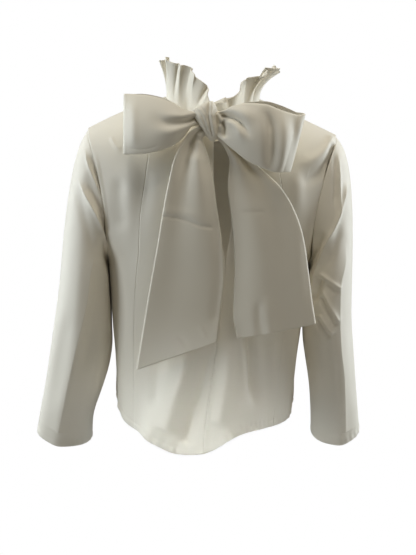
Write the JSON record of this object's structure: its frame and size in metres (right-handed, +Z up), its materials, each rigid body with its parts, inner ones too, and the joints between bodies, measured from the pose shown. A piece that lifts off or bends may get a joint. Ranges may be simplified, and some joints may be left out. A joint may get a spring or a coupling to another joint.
{
  "type": "blouse",
  "caption": "Long-sleeved hip-length blouse, worn shape, with a gathered standing tie collar knotted in a large bow at the back over a keyhole opening.",
  "frame": {"origin": "middle of the neck opening, at the height where the blouse rests on the shoulders", "axes": "+Z up, the wearer faces -Y so the bow is on the +Y side, +X towards the wearer's left"},
  "size_m": [0.5555, 0.271, 0.6499],
  "materials": {
    "body_cloth": "smooth ivory crepe with a faint sheen",
    "tie_cloth": "smooth ivory crepe with a soft satin sheen, folded double"
  },
  "bodies": {
    "root": {"front": "body_cloth", "back_left": "body_cloth", "back_right": "body_cloth", "side_back_left": "body_cloth", "side_back_right": "body_cloth", "sleeve_left": "body_cloth", "sleeve_right": "body_cloth", "neck_tie": "tie_cloth", "knot": "tie_cloth", "loop_left": "tie_cloth", "loop_right": "tie_cloth", "tail_left": "tie_cloth", "tail_right": "tie_cloth"}
  },
  "joints": []
}
